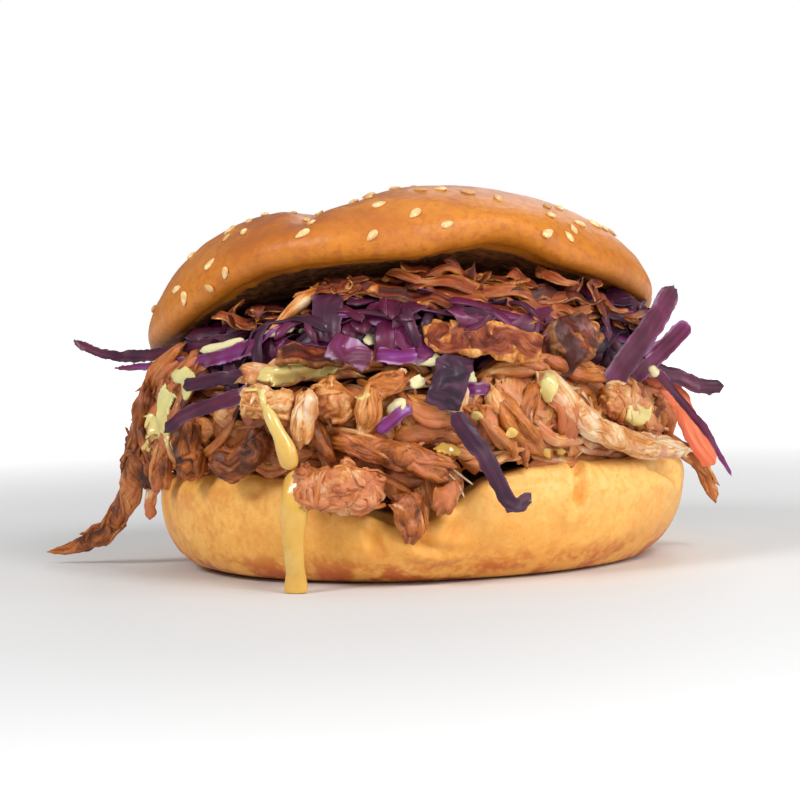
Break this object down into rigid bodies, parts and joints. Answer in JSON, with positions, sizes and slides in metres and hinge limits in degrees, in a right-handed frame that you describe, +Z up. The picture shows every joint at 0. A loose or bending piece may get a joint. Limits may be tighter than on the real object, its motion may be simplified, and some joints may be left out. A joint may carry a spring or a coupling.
{
  "type": "pulled pork sandwich",
  "caption": "Seeded soft bun propped open at the front by pulled pork, red cabbage slaw and crisp bacon, with strips hanging over its rim and a drip of sauce.",
  "frame": {"origin": "middle of the bottom bun's flat foot, on the surface it stands on", "axes": "+Z up, -Y towards the open front, +X to the right as seen from the front"},
  "size_m": [0.15, 0.1218, 0.0793],
  "materials": {
    "bun_top": "glazed brown crust with pale crumb on its cut face",
    "bun_base": "soft golden crust with pale crumb on its cut face",
    "pulled_pork": "moist, fibrous, orange-brown to pink",
    "red_cabbage": "dark violet skin with magenta and pale edges",
    "crisp_bacon": "dry pink-brown middle with tan rim",
    "carrot": "moist orange-red"
  },
  "bodies": {
    "root": {"bacon_fold": "crisp_bacon", "bacon_front": "crisp_bacon", "bacon_left": "crisp_bacon", "bacon_middle": "crisp_bacon", "bacon_red": "crisp_bacon", "bacon_right": "crisp_bacon", "bacon_top": "crisp_bacon", "bun_base": "bun_base", "bun_top": "bun_top", "cabbage_bit_right": "red_cabbage", "cabbage_heap": "red_cabbage", "cabbage_leaf_centre": "red_cabbage", "cabbage_leaf_dark": "red_cabbage", "cabbage_leaf_mauve": "red_cabbage", "cabbage_strip_bright": "red_cabbage", "cabbage_strip_hanging": "red_cabbage", "cabbage_strip_left": "red_cabbage", "cabbage_strip_left_bright": "red_cabbage", "cabbage_strip_left_dark": "red_cabbage", "cabbage_strip_left_dull": "red_cabbage", "cabbage_strip_low": "red_cabbage", "cabbage_strip_right": "red_cabbage", "cabbage_strip_right_back": "red_cabbage", "cabbage_strip_right_long": "red_cabbage", "cabbage_strip_right_short": "red_cabbage", "cabbage_strip_violet": "red_cabbage", "carrot_strip": "carrot", "pork_ball_left": "pulled_pork", "pork_bit_left": "pulled_pork", "pork_chunk_arch": "pulled_pork", "pork_chunk_dip": "pulled_pork", "pork_chunk_front": "pulled_pork", "pork_chunk_left": "pulled_pork", "pork_chunk_middle": "pulled_pork", "pork_chunk_right": "pulled_pork", "pork_chunk_right_top": "pulled_pork", "pork_chunk_side": "pulled_pork", "pork_chunk_tan": "pulled_pork", "pork_chunk_twist": "pulled_pork", "pork_chunk_upright": "pulled_pork", "pork_heap": "pulled_pork", "pork_loop_right": "pulled_pork", "pork_rod_left": "pulled_pork", "pork_strand_right": "pulled_pork", "pork_strip_end": "pulled_pork", "pork_strip_hanging": "pulled_pork", "pork_strip_middle": "pulled_pork", "pork_strip_right_low": "pulled_pork", "pork_tab_left": "pulled_pork"}
  },
  "joints": []
}
